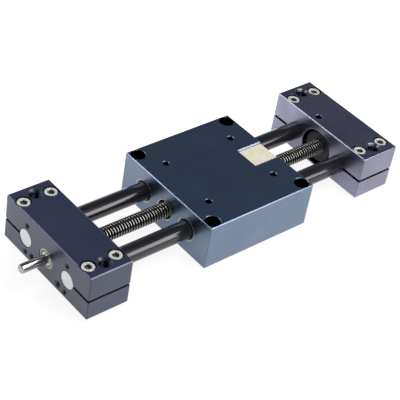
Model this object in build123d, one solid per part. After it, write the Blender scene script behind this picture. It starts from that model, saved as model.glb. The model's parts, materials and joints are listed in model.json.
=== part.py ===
from build123d import *
import math
import os

# Linear positioning table, in millimetres.
# X runs along the travel towards the tail block, Y across it, Z up.
# The origin is midway between the end blocks, on the carriage's mounting face, which the table stands on.
# The base faces of the end blocks point up.

# End blocks
block_length = 30.0
block_height = 32.0
block_lift = 2.0              # the carriage's mounting face stands this far below the blocks
edge_chamfer = 0.4

# Carriage, and its distance from each block at rest
carriage_length = 85.0
carriage_height = 32.0
drive_gap = 58.8
tail_gap = 46.2

# Guide shafts
shaft_diameter = 12.0
shaft_spacing = 42.5
side_margin = 21.25           # from a shaft's axis to the side faces of blocks and carriage
shaft_setback = 0.2           # shaft ends below the outer faces
shaft_end_chamfer = 0.3
held_clearance = 0.01         # radial, round what is held still

# Slots and screws that clamp the shafts
slot_width = 1.8
clamp_screw_offset = 11.25    # from a shaft's axis
clamp_screw_inset = 5.25      # from the block's inner and outer faces
clamp_head_depth = 0.7        # head below the base face
clamp_head_clearance = 0.5    # radial, round the head
clamp_hole_floor = 3.0        # metal left under a tapped hole
clamp_tip_room = 2.0          # between a screw's tip and the end of its hole

# Socket head screws, M5 in the blocks, M3 in the nut and the collar
m5_thread = 5.0
m5_head = 8.5
m5_head_height = 5.0
m5_socket = 4.0
m5_socket_depth = 2.5
m3_thread = 3.0
m3_head = 5.5
m3_head_height = 3.0
m3_socket = 2.5
m3_socket_depth = 1.3
plain_hole_clearance = 0.25   # radial, round a shank in a plain hole
thread_clearance = 0.05       # radial, round a shank in a tapped hole

# Mounting holes of the blocks, tapped from the base face
base_hole_inset = 7.5         # from the side faces
base_hole_diameter = 6.8
base_hole_sink = 1.3
base_hole_exit_sink = 0.4

# Tapped holes in the drive block's outer face: four round the shafts and a pair below the screw
face_hole_pitch_y = 40.5
face_hole_pitch_z = 20.0
face_hole_diameter = 3.3
face_hole_depth = 10.0
pair_hole_pitch = 27.0
pair_hole_drop = 9.2          # below the screw's axis
pair_hole_diameter = 4.2
pair_hole_depth = 12.0
face_hole_sink = 0.5

# Lead screw, trapezoidal, 2 mm pitch, drawn at its outer diameter
screw_diameter = 10.0
screw_end_chamfer = 0.8
journal_diameter = 6.0
journal_reach = 17.6          # beyond the drive block
journal_setback = 0.5         # below the tail block's outer face
journal_chamfer = 0.5
journal_relief = 0.2          # radial, in the groove between the drive bearing's seat and the free end
journal_relief_width = 0.6    # ends at the bearing
screw_overrun = 1.5           # full diameter beyond the tail recess's floor
passing_clearance = 0.5       # radial, round the screw's full diameter in the tail block

# Thrust washers, one against the screw's shoulder and one against the collar
shoulder_setback = 2.95       # below the drive block's inner face
washer_thickness = 1.5
drive_washer_diameter = 15.6
washer_rim_clearance = 0.2    # radial, to the drive recess
washer_bore_clearance = 0.1   # radial, round the journal or the screw
tail_washer_inset = 1.0       # radial, inside the collar's outline
end_play = 0.05
recess_chamfer = 0.3

# Split clamp collar on the screw
collar_wall = 6.0
collar_length = 8.0
collar_setback = 1.95         # below the tail block's inner face
collar_chamfer = 0.4
collar_slit = 1.2
collar_slit_angle = -45.0     # from +Y towards +Z
collar_screw_inset = 2.6      # from the collar's outline to its clamp screw's axis
collar_screw_length = 8.0
collar_head_seat = 2.6        # above the slit's middle
collar_head_clearance = 0.2   # radial, round the head
collar_swing_clearance = 0.27 # radial, round the screw's head as the collar turns
key_hole_diameter = 4.3
key_hole_sink = 0.3

# Ball bearings, 6 x 13 x 5
ring_wall = 1.1
ring_gap = 1.3                # between the two rings
groove_depth = 0.35
bearing_width = 5.0
bearing_setback = 0.3
ball_count = 8
ball_clearance = 0.05
cage_clearance = 0.25         # radial, to both rings
cage_width = 2.6
pocket_clearance = 0.06
shield_step = 0.25            # radial, into the outer ring
shield_gap = 0.2              # radial, to the inner ring
shield_thickness = 0.25
shield_setback = 0.2
ring_chamfer = 0.2
relief_clearance = 0.4        # radial, round the inner ring's land, in the block behind it

# Liners in the carriage, located by studs
liner_wall = 0.93
liner_length = 30.0
liner_inset = 0.5             # from the carriage's end faces
liner_slit = 1.2
liner_groove_width = 1.6
liner_groove_depth = 0.35
liner_groove_count = 6
running_clearance = 0.05      # radial, round a shaft or the screw
liner_seat_clearance = 0.02   # radial, round a liner
stud_diameter = 4.0
stud_height = 3.0
stud_clearance = 0.1          # radial
stud_hole_sink = 0.4
bore_chamfer = 0.5

# Carriage holes
screw_passage_clearance = 1.5 # radial, round the screw
passage_chamfer = 0.3
corner_hole_inset = 5.5
corner_hole_diameter = 5.0
corner_hole_sink = 0.7
corner_relief_diameter = 10.0
corner_relief_depth = 12.0
corner_relief_sink = 0.25

# Lead nut, U-shaped, in a pocket that is open above and at the tail end
nut_wall = 3.3                # beside the screw
nut_length = 19.4
nut_side_clearance = 0.15
nut_top_depth = 1.2           # below the carriage's upper face
nut_end_setback = 0.1
nut_edge_chamfer = 0.3
nut_head_clearance = 0.25     # radial, round a screw's head
nut_head_setback = 0.3
nut_screw_wall = 0.75         # between a screw's head hole and the nut's side
nut_screw_cover = 1.2         # between a screw's head hole and the nut's top
nut_screw_grip = 8.0          # thread in the carriage
nut_tip_room = 2.0
pocket_chamfer = 0.7

# Places that follow from the sizes
drive, tail = -1, 1
half_span = (drive_gap + carriage_length + tail_gap) / 2
outer_face = half_span + block_length
block_middle = half_span + block_length / 2
block_bottom = block_lift
block_top = block_lift + block_height
table_width = shaft_spacing + 2 * side_margin
axis_height = carriage_height / 2
carriage_start = -half_span + drive_gap
carriage_end = carriage_start + carriage_length
carriage_middle = (carriage_start + carriage_end) / 2
shaft_rows = (shaft_spacing / 2, -shaft_spacing / 2)


def rod(radius, length, start, axis):
    """Cylinder from a start point along the +X or +Z axis."""
    turn = {"X": Rot(0, 90, 0), "Z": Rot(0, 0, 0)}[axis]
    return Pos(*start) * turn * Cylinder(radius, length, align=(Align.CENTER, Align.CENTER, Align.MIN))


def sink(hole_radius, size, mouth, direction):
    """45 degree cone that widens a hole by size at its mouth, narrowing along a direction such as -Z."""
    turn = {"+X": Rot(0, 90, 0), "-X": Rot(0, -90, 0), "+Z": Rot(0, 0, 0), "-Z": Rot(180, 0, 0)}[direction]
    cone = Cone(hole_radius + size, hole_radius, size, align=(Align.CENTER, Align.CENTER, Align.MIN))
    return Pos(*mouth) * turn * cone


def ring(outside_radius, inside_radius, width, start):
    """Plain ring about the screw's axis, from x = start."""
    centre = (start, 0, axis_height)
    return rod(outside_radius, width, centre, "X") - rod(inside_radius, width, centre, "X")


def beveled_box(length, width, height, low_corner):
    """Box with every edge beveled, placed by its corner of least x, y and z."""
    box = Box(length, width, height, align=(Align.MIN, Align.MIN, Align.MIN))
    return Pos(*low_corner) * chamfer(box.edges(), edge_chamfer)


def socket_screw(thread, length, head, head_height, socket_width, socket_depth):
    """Socket head screw along Z, its head above z = 0 and its shank below."""
    top = rod(head / 2, head_height, (0, 0, 0), "Z")
    top = chamfer(top.edges().group_by(Axis.Z)[-1], head_height * 0.08)
    hexagon = RegularPolygon(socket_width / 2, 6, major_radius=False)
    socket = extrude(Pos(0, 0, head_height - socket_depth) * hexagon, socket_depth)
    shank = rod(thread / 2, length, (0, 0, -length), "Z")
    shank = chamfer(shank.edges().group_by(Axis.Z)[0], thread * 0.12)
    return top + shank - socket


def m5_screw(length):
    return socket_screw(m5_thread, length, m5_head, m5_head_height, m5_socket, m5_socket_depth)


def m3_screw(length):
    return socket_screw(m3_thread, length, m3_head, m3_head_height, m3_socket, m3_socket_depth)


def to_end(shape, end):
    """What is drawn for the tail end, turned half round for the drive end."""
    return shape if end == tail else Rot(0, 0, 180) * shape


# Clamp screws: a head rests at the seat, and the tip ends above the floor of its hole
clamp_seat = block_top - clamp_head_depth - m5_head_height
clamp_floor = block_bottom + clamp_hole_floor
clamp_screw_length = clamp_seat - clamp_floor - clamp_tip_room


def clamp_places():
    """Middles of the four clamp screws of one block, drawn for the tail end."""
    out_x = block_length / 2 - clamp_screw_inset
    out_y = shaft_spacing / 2 + clamp_screw_offset
    return [(block_middle + i * out_x, j * out_y) for i in (-1, 1) for j in (-1, 1)]


def clamp_cuts():
    """Shaft bores, slots from them to the side faces, and holes of the screws that close the slots."""
    cuts = []
    for row in shaft_rows:
        slot = Box(block_length, side_margin, slot_width)
        slot_middle = row + math.copysign(side_margin / 2, row)
        cuts.append(Pos(block_middle, slot_middle, axis_height) * slot)
        bore = shaft_diameter / 2 + held_clearance
        cuts.append(rod(bore, block_length, (half_span, row, axis_height), "X"))
    head_hole = m5_head / 2 + clamp_head_clearance
    plain = m5_thread / 2 + plain_hole_clearance
    tapped = m5_thread / 2 + thread_clearance
    for x, y in clamp_places():
        cuts.append(rod(head_hole, block_top - clamp_seat, (x, y, clamp_seat), "Z"))
        cuts.append(rod(plain, clamp_seat - axis_height, (x, y, axis_height), "Z"))
        cuts.append(rod(tapped, axis_height - clamp_floor, (x, y, clamp_floor), "Z"))
    return cuts


def base_holes():
    """Through holes of one block, sunk on the base face and eased on the other."""
    cuts = []
    radius = base_hole_diameter / 2
    for j in (-1, 1):
        y = j * (table_width / 2 - base_hole_inset)
        cuts.append(rod(radius, block_height, (block_middle, y, block_bottom), "Z"))
        cuts.append(sink(radius, base_hole_sink, (block_middle, y, block_top), "-Z"))
        cuts.append(sink(radius, base_hole_exit_sink, (block_middle, y, block_bottom), "+Z"))
    return cuts


def recess(radius, depth):
    """Round recess in the inner face with an eased rim."""
    centre = (half_span, 0, axis_height)
    return [rod(radius, depth, centre, "X"), sink(radius, recess_chamfer, centre, "+X")]


def face_hole(diameter, depth, y, z):
    """Blind tapped hole in the outer face."""
    hole = rod(diameter / 2, depth, (outer_face - depth, y, z), "X")
    return [hole, sink(diameter / 2, face_hole_sink, (outer_face, y, z), "-X")]


def plain_block():
    return beveled_box(block_length, table_width, block_height, (half_span, -table_width / 2, block_bottom))


# Ball bearings, drawn for the tail end. The balls run in grooves of both rings.
inner_land = journal_diameter / 2 + ring_wall
outer_land = inner_land + ring_gap
bearing_radius = outer_land + ring_wall
pitch_radius = (inner_land + outer_land) / 2
ball_radius = ring_gap / 2 + groove_depth
bearing_start = outer_face - bearing_setback - bearing_width
bearing_middle = bearing_start + bearing_width / 2


def bearing_seat():
    """Seat sunk in the outer face and the relief behind the inner ring."""
    seat = rod(bearing_radius + held_clearance, block_length, (bearing_start, 0, axis_height), "X")
    return [seat, rod(inner_land + relief_clearance, block_length, (half_span, 0, axis_height), "X")]


def ball_track():
    """Groove of both rings: a torus about the screw's axis."""
    torus = Torus(pitch_radius, ball_radius + ball_clearance)
    return Pos(bearing_middle, 0, axis_height) * Rot(0, 90, 0) * torus


def ring_blank(outside_radius):
    """Solid blank of a bearing ring, as wide as the bearing."""
    blank = rod(outside_radius, bearing_width, (bearing_start, 0, axis_height), "X")
    return chamfer(blank.edges().filter_by(GeomType.CIRCLE), ring_chamfer)


def make_outer_ring(end):
    step = shield_setback + shield_thickness
    step_radius = outer_land + shield_step + held_clearance
    cuts = [rod(outer_land, bearing_width, (bearing_start, 0, axis_height), "X"), ball_track()]
    for x in (bearing_start, bearing_start + bearing_width - step):
        cuts.append(rod(step_radius, step, (x, 0, axis_height), "X"))
    return to_end(ring_blank(bearing_radius) - cuts, end)


def make_inner_ring(end):
    bore = rod(journal_diameter / 2 + held_clearance, bearing_width, (bearing_start, 0, axis_height), "X")
    return to_end(ring_blank(inner_land) - [bore, ball_track()], end)


def make_shields(end):
    first = bearing_start + shield_setback
    last = bearing_start + bearing_width - shield_setback - shield_thickness
    outside, inside = outer_land + shield_step, inner_land + shield_gap
    return [to_end(ring(outside, inside, shield_thickness, x), end) for x in (first, last)]


def ball_places():
    angles = [2 * math.pi * i / ball_count for i in range(ball_count)]
    return [(bearing_middle, pitch_radius * math.cos(a), axis_height + pitch_radius * math.sin(a)) for a in angles]


def make_balls(end):
    return [to_end(Pos(*place) * Sphere(ball_radius), end) for place in ball_places()]


def make_cage(end):
    outside, inside = outer_land - cage_clearance, inner_land + cage_clearance
    band = ring(outside, inside, cage_width, bearing_middle - cage_width / 2)
    pocket = Sphere(ball_radius + pocket_clearance)
    return to_end(band - [Pos(*place) * pocket for place in ball_places()], end)


# Thrust at the drive end: the screw's shoulder runs against a washer on the recess's floor
shoulder_x = -half_span - shoulder_setback
drive_recess_depth = shoulder_setback + end_play + washer_thickness
drive_recess_radius = drive_washer_diameter / 2 + washer_rim_clearance

# Thrust at the tail end: the collar runs against a washer on the recess's floor
tail_recess_depth = collar_setback + collar_length + end_play + washer_thickness
collar_radius = screw_diameter / 2 + collar_wall
collar_middle = half_span + collar_setback + collar_length / 2
collar_screw_offset = collar_radius - collar_screw_inset
collar_swing = math.hypot(collar_screw_offset + m3_head / 2, collar_head_seat + m3_head_height)
tail_recess_radius = max(collar_swing, collar_radius) + collar_swing_clearance
screw_end_x = half_span + tail_recess_depth + screw_overrun


def make_drive_block():
    cuts = clamp_cuts() + base_holes() + bearing_seat() + recess(drive_recess_radius, drive_recess_depth)
    for j in (-1, 1):
        for k in (-1, 1):
            y, z = j * face_hole_pitch_y / 2, axis_height + k * face_hole_pitch_z / 2
            cuts += face_hole(face_hole_diameter, face_hole_depth, y, z)
        pair_y, pair_z = j * pair_hole_pitch / 2, axis_height - pair_hole_drop
        cuts += face_hole(pair_hole_diameter, pair_hole_depth, pair_y, pair_z)
    return to_end(plain_block() - cuts, drive)


def make_tail_block():
    """Its key hole, above the collar, meets the collar's screw when the slit points to +Y."""
    cuts = clamp_cuts() + base_holes() + bearing_seat() + recess(tail_recess_radius, tail_recess_depth)
    passage = screw_diameter / 2 + passing_clearance
    passage_end = screw_end_x + passing_clearance
    cuts.append(rod(passage, passage_end - half_span, (half_span, 0, axis_height), "X"))
    key_hole = (collar_middle, collar_screw_offset, axis_height)
    cuts.append(rod(key_hole_diameter / 2, block_top - axis_height, key_hole, "Z"))
    key_rim = (collar_middle, collar_screw_offset, block_top)
    cuts.append(sink(key_hole_diameter / 2, key_hole_sink, key_rim, "-Z"))
    return plain_block() - cuts


def make_shaft(row):
    length = 2 * (outer_face - shaft_setback)
    shaft = rod(shaft_diameter / 2, length, (-length / 2, row, axis_height), "X")
    return chamfer(shaft.edges().filter_by(GeomType.CIRCLE), shaft_end_chamfer)


def make_clamp_screws(end):
    screw = m5_screw(clamp_screw_length)
    return [to_end(Pos(x, y, clamp_seat) * screw, end) for x, y in clamp_places()]


def make_drive_washer():
    inside = journal_diameter / 2 + washer_bore_clearance
    return ring(drive_washer_diameter / 2, inside, washer_thickness, -half_span - drive_recess_depth)


def make_tail_washer():
    inside = screw_diameter / 2 + washer_bore_clearance
    start = half_span + tail_recess_depth - washer_thickness
    return ring(collar_radius - tail_washer_inset, inside, washer_thickness, start)


def make_lead_screw():
    journal_start = -outer_face - journal_reach
    journal_end = outer_face - journal_setback
    journal = rod(journal_diameter / 2, journal_end - journal_start, (journal_start, 0, axis_height), "X")
    journal = chamfer(journal.edges().filter_by(GeomType.CIRCLE), journal_chamfer)
    thread = rod(screw_diameter / 2, screw_end_x - shoulder_x, (shoulder_x, 0, axis_height), "X")
    thread = chamfer(thread.edges().filter_by(GeomType.CIRCLE), screw_end_chamfer)
    seat_radius = journal_diameter / 2
    groove_start = bearing_setback - outer_face - journal_relief_width
    groove = ring(seat_radius + journal_relief, seat_radius - journal_relief, journal_relief_width, groove_start)
    return journal + thread - groove


def on_collar(shape):
    """From the collar's own frame, slit along +Y and clamp screw along Z, to its place on the screw."""
    return Pos(collar_middle, 0, axis_height) * Rot(collar_slit_angle, 0, 0) * shape


def make_collar():
    half = collar_length / 2
    body = rod(collar_radius, collar_length, (-half, 0, 0), "X")
    body = chamfer(body.edges().filter_by(GeomType.CIRCLE), collar_chamfer)
    bore = rod(screw_diameter / 2 + held_clearance, collar_length, (-half, 0, 0), "X")
    slit = Pos(0, collar_radius / 2, 0) * Box(collar_length, collar_radius, collar_slit)
    head_radius = m3_head / 2 + collar_head_clearance
    head_hole = rod(head_radius, collar_radius, (0, collar_screw_offset, collar_head_seat), "Z")
    thread_radius = m3_thread / 2 + thread_clearance
    thread_hole = rod(thread_radius, 2 * collar_radius, (0, collar_screw_offset, -collar_radius), "Z")
    return on_collar(body - [bore, slit, head_hole, thread_hole])


def make_collar_screw():
    return on_collar(Pos(0, collar_screw_offset, collar_head_seat) * m3_screw(collar_screw_length))


# Nut and pocket share a U shape with its round bottom about the screw's axis
nut_half_width = screw_diameter / 2 + running_clearance + nut_wall
nut_top = carriage_height - nut_top_depth
pocket_length = nut_length + nut_end_setback
nut_start = carriage_end - pocket_length
nut_end = nut_start + nut_length
nut_head_seat = nut_end - nut_head_setback - m3_head_height
nut_head_hole = m3_head / 2 + nut_head_clearance
nut_screw_out = nut_half_width - nut_screw_wall - nut_head_hole
nut_screw_places = [(j * nut_screw_out, nut_top - nut_screw_cover - nut_head_hole) for j in (-1, 1)]


def u_shape(half_width, top, length):
    """U profile about the screw's axis, extruded from the pocket's inner wall."""
    rise = top - axis_height
    profile = Circle(half_width) + Pos(0, rise / 2) * Rectangle(2 * half_width, rise)
    return Pos(nut_start, 0, axis_height) * extrude(Plane.YZ * profile, length)


def nut_pocket():
    """Room for the nut, with a bevel round its upper edge that ends past the carriage's end face."""
    half_width = nut_half_width + nut_side_clearance
    low = Rectangle(2 * pocket_length, 2 * half_width)
    high = Rectangle(2 * (pocket_length + pocket_chamfer), 2 * (half_width + pocket_chamfer))
    bevel = Pos(carriage_end, 0, carriage_height) * loft([Pos(0, 0, -pocket_chamfer) * low, high])
    return [u_shape(half_width, carriage_height + pocket_chamfer, pocket_length), bevel]


liner_bore = shaft_diameter / 2 + running_clearance + liner_wall + liner_seat_clearance
liner_out = carriage_length / 2 - liner_inset - liner_length / 2


def long_bores():
    """Bores for the shafts with their liners, and the screw's passage, from end to end."""
    cuts = []
    screw_passage = screw_diameter / 2 + screw_passage_clearance
    rows = [(row, liner_bore, bore_chamfer) for row in shaft_rows] + [(0, screw_passage, passage_chamfer)]
    for row, radius, size in rows:
        start = (carriage_start, row, axis_height)
        cuts.append(rod(radius, carriage_length, start, "X"))
        cuts.append(sink(radius, size, start, "+X"))
        cuts.append(sink(radius, size, (carriage_end, row, axis_height), "-X"))
    return cuts


def corner_holes():
    """Tapped from the mounting face, relieved on the other side."""
    cuts = []
    radius = corner_hole_diameter / 2
    relief_z = carriage_height - corner_relief_depth
    for i in (-1, 1):
        for j in (-1, 1):
            x = carriage_middle + i * (carriage_length / 2 - corner_hole_inset)
            y = j * (table_width / 2 - corner_hole_inset)
            cuts.append(rod(radius, carriage_height, (x, y, 0), "Z"))
            cuts.append(sink(radius, corner_hole_sink, (x, y, 0), "+Z"))
            cuts.append(rod(corner_relief_diameter / 2, corner_relief_depth, (x, y, relief_z), "Z"))
            cuts.append(sink(corner_relief_diameter / 2, corner_relief_sink, (x, y, carriage_height), "-Z"))
    return cuts


def stud_holes():
    cuts = []
    radius = stud_diameter / 2 + stud_clearance
    for i in (-1, 1):
        for row in shaft_rows:
            x = carriage_middle + i * liner_out
            cuts.append(rod(radius, carriage_height - axis_height, (x, row, axis_height), "Z"))
            cuts.append(sink(radius, stud_hole_sink, (x, row, carriage_height), "-Z"))
    return cuts


def nut_thread_holes():
    depth = nut_screw_grip + nut_tip_room
    radius = m3_thread / 2 + thread_clearance
    return [rod(radius, depth, (nut_start - depth, y, z), "X") for y, z in nut_screw_places]


def make_carriage():
    block = beveled_box(carriage_length, table_width, carriage_height, (carriage_start, -table_width / 2, 0))
    return block - (long_bores() + corner_holes() + stud_holes() + nut_pocket() + nut_thread_holes())


def make_nut():
    body = u_shape(nut_half_width, nut_top, nut_length)
    body = chamfer(body.edges().group_by(Axis.X)[-1], nut_edge_chamfer)
    cuts = [rod(screw_diameter / 2 + running_clearance, nut_length, (nut_start, 0, axis_height), "X")]
    for y, z in nut_screw_places:
        cuts.append(rod(m3_thread / 2 + plain_hole_clearance, nut_length, (nut_start, y, z), "X"))
        cuts.append(rod(nut_head_hole, nut_end - nut_head_seat, (nut_head_seat, y, z), "X"))
    return body - cuts


def make_nut_screws():
    screw = m3_screw(nut_head_seat - nut_start + nut_screw_grip)
    return [Pos(nut_head_seat, y, z) * Rot(0, 90, 0) * screw for y, z in nut_screw_places]


def make_liner(end, row):
    """Sleeve with a slit below, relief grooves along its bore and a locating stud above."""
    inside = shaft_diameter / 2 + running_clearance
    outside = inside + liner_wall
    profile = Circle(outside) - Circle(inside)
    profile -= Pos(0, -outside) * Rectangle(liner_slit, outside)
    for i in range(liner_groove_count):
        groove = Pos(inside, 0) * Rectangle(2 * liner_groove_depth, liner_groove_width)
        profile -= Rot(0, 0, 360 * (i + 0.5) / liner_groove_count) * groove
    sleeve = extrude(Plane.YZ * profile, liner_length)
    stud_foot = (outside + inside) / 2
    stud = rod(stud_diameter / 2, outside + stud_height - stud_foot, (liner_length / 2, 0, stud_foot), "Z")
    start = carriage_middle + end * liner_out - liner_length / 2
    return Pos(start, row, axis_height) * (sleeve + stud)


left, right = shaft_rows
nodes = {
    "drive_end_block": make_drive_block(),
    "tail_end_block": make_tail_block(),
    "left_guide_shaft": make_shaft(left),
    "right_guide_shaft": make_shaft(right),
    "drive_clamp_screws": make_clamp_screws(drive),
    "tail_clamp_screws": make_clamp_screws(tail),
    "drive_bearing_outer_ring": make_outer_ring(drive),
    "tail_bearing_outer_ring": make_outer_ring(tail),
    "drive_bearing_shields": make_shields(drive),
    "tail_bearing_shields": make_shields(tail),
    "drive_thrust_washer": make_drive_washer(),
    "tail_thrust_washer": make_tail_washer(),
    "lead_screw": make_lead_screw(),
    "tail_clamp_collar": make_collar(),
    "collar_clamp_screw": make_collar_screw(),
    "drive_bearing_inner_ring": make_inner_ring(drive),
    "tail_bearing_inner_ring": make_inner_ring(tail),
    "drive_bearing_balls": make_balls(drive),
    "drive_bearing_cage": make_cage(drive),
    "tail_bearing_balls": make_balls(tail),
    "tail_bearing_cage": make_cage(tail),
    "carriage_block": make_carriage(),
    "lead_nut": make_nut(),
    "nut_screws": make_nut_screws(),
    "drive_left_liner": make_liner(drive, left),
    "drive_right_liner": make_liner(drive, right),
    "tail_left_liner": make_liner(tail, left),
    "tail_right_liner": make_liner(tail, right),
}

os.makedirs("parts", exist_ok=True)
for name, shape in nodes.items():
    pieces = shape if isinstance(shape, list) else [shape]
    solids = [solid for piece in pieces for solid in piece.solids()]
    export_step(Compound(children=solids) if len(solids) > 1 else solids[0], f"parts/{name}.step")
    print(name, len(solids))
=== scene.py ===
import json
import math
import bmesh
import bpy
import numpy as np
from mathutils import Matrix, Vector


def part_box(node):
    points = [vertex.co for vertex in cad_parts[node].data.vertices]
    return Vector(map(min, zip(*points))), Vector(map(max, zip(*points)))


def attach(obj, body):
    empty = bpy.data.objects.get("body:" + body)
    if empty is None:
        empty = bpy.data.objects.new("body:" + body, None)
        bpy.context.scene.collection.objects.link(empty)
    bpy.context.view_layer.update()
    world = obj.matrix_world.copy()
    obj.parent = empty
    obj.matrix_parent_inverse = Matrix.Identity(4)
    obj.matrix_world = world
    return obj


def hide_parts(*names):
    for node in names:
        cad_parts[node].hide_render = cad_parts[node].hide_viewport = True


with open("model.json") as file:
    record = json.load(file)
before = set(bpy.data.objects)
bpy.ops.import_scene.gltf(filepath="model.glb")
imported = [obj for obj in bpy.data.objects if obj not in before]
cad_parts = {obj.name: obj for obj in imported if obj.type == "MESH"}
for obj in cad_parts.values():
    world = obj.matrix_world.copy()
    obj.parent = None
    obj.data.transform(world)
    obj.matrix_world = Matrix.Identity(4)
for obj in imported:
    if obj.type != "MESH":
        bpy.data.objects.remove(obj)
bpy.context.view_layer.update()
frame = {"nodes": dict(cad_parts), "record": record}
nodes = frame["nodes"]
mm = 0.001
print("frame loaded:", len(nodes), "nodes")

# Places read from the frame, in metres
carriageLow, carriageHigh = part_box("carriage_block")
driveLow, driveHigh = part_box("drive_end_block")
tailLow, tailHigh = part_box("tail_end_block")
screwLow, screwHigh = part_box("lead_screw")
leftLow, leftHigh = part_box("left_guide_shaft")
shaftOut = (leftLow.y + leftHigh.y) / 2          # from the middle to a shaft's axis
axisHeight = (leftLow.z + leftHigh.z) / 2        # of the shafts and of the screw
carriageMiddle = (carriageLow.x + carriageHigh.x) / 2
blockMiddle = (tailLow.x + tailHigh.x) / 2       # the drive block's is as far on the other side


# Small helpers for materials

def linearColour(hexText):
    # sRGB hex to linear RGBA
    parts = [int(hexText[i:i + 2], 16) / 255 for i in (1, 3, 5)]
    linear = [c / 12.92 if c <= 0.04045 else ((c + 0.055) / 1.055) ** 2.4 for c in parts]
    return (*linear, 1.0)


def addNode(tree, kind, settings, links):
    # Adds a shader node and gives back its outputs. settings: a property or an input and its value.
    # links: an input and the output that feeds it. Inputs go by name or number. Of a Mix node, 0 is the
    # share, 2 and 3 are its numbers, 4 and 5 its vectors, 6 and 7 its colours.
    node = tree.nodes.new("ShaderNode" + kind)
    for name, value in settings.items():
        if isinstance(name, str) and name in node.bl_rna.properties:
            setattr(node, name, value)
        else:
            node.inputs[name].default_value = value
    for name, output in links.items():
        tree.links.new(output, node.inputs[name])
    return node.outputs


unit, falling = (0.0, 1.0), (1.0, 0.0)
noiseRange = (0.3, 0.7)      # where most of a noise's values lie


def fromTo(start, end=unit):
    # the settings that carry one range to another in a Map Range node, whose input 0 is the value
    return {1: start[0], 2: start[1], 3: end[0], 4: end[1]}


def startMaterial(name, settings):
    # a material with its shader's fixed values set and the object's coordinates ready
    material = bpy.data.materials.new(name)
    material.use_nodes = True
    tree = material.node_tree
    shader = tree.nodes["Principled BSDF"]
    for socket, value in settings.items():
        shader.inputs[socket].default_value = value
    place = addNode(tree, "TexCoord", {}, {})["Object"]
    return material, tree, shader, place


def feedShader(tree, shader, outputs):
    # joins each output to the shader's socket of that name
    for socket, output in outputs.items():
        tree.links.new(output, shader.inputs[socket])


def grain(tree, place, size, stretch=(1, 1, 1), detail=3.0):
    # noise whose spots are size millimetres across, drawn out along an axis by stretch
    spread = addNode(tree, "Mapping", {"Scale": [1 / s for s in stretch]}, {"Vector": place})[0]
    return addNode(tree, "TexNoise", {"Scale": 1 / (size * mm), "Detail": detail}, {"Vector": spread})[0]


def mottle(tree, place, size, stretch=(1, 1, 1), detail=3.0, spread=noiseRange):
    # the same noise, with that range of its values spread over 0 to 1
    noise = grain(tree, place, size, stretch, detail)
    return addNode(tree, "MapRange", fromTo(spread), {0: noise})[0]


def joinMasks(tree, operation, masks):
    # takes any number of masks together, two by two
    joined = masks[0]
    for mask in masks[1:]:
        joined = addNode(tree, "Math", {"operation": operation}, {0: joined, 1: mask})[0]
    return joined


def axisDistance(tree, place, outY):
    # distance from a line along X at the shafts' height; outY is its |y|
    parts = addNode(tree, "SeparateXYZ", {}, {0: place})
    side = addNode(tree, "Math", {"operation": "ABSOLUTE"}, {0: parts[1]})[0]
    across = addNode(tree, "Math", {"operation": "SUBTRACT", 1: outY}, {0: side})[0]
    up = addNode(tree, "Math", {"operation": "SUBTRACT", 1: axisHeight}, {0: parts[2]})[0]
    flat = addNode(tree, "CombineXYZ", {}, {0: across, 1: up})[0]
    return addNode(tree, "VectorMath", {"operation": "LENGTH"}, {0: flat})["Value"]


def largestPart(tree, vector):
    # the largest of a vector's three parts, whatever their signs
    whole = addNode(tree, "VectorMath", {"operation": "ABSOLUTE"}, {0: vector})[0]
    parts = addNode(tree, "SeparateXYZ", {}, {0: whole})
    return joinMasks(tree, "MAXIMUM", [parts[0], parts[1], parts[2]])


# Materials. Pairs are the two ends of a range, and lengths are in mm.

anodised = {
    "coatRough": 0.27, "coatIor": 1.65, "rough": (0.28, 0.33), "bump": 0.0015, "cloud": 24.0,
    "grain": 1.4, "grainRange": (0.25, 0.75), "easeSamples": 6,
    "dyeSpread": (0.4, 1.4),         # of clouds and milling lines together
    "edgeTurn": (0.8, 0.97),         # the largest part of the normal, on an edge and on a face
    # edgeDepth: where the paler colour of the top edges starts, a painted highlight
    "edgeDepth": (1.2, 0.9),         # below the top, where the paler film starts
    # deep is the colour of painted shade, on the upright corners and in the holes, slots and recess
    "cornerTilt": (0.15, 0.3), "cornerShade": 0.35, "deep": "#0b0d13",
    "wallFade": (0.05, 0.1),         # outside a hole's wall and outside its sink
    "rimFade": (0.8, 1.0),           # outside its sink, where edges start to be eased
    "topSkin": (0.2, 0.1), "slotFade": (0.02, 0.05), "slotStart": 0.1,
    "recessFade": (0.02, 0.06), "recessEnd": 0.05,
    "bare": "#e4dcc0", "bareRough": 0.42, "bareMetallic": 0.6, "bareFade": 0.03,
}


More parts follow.
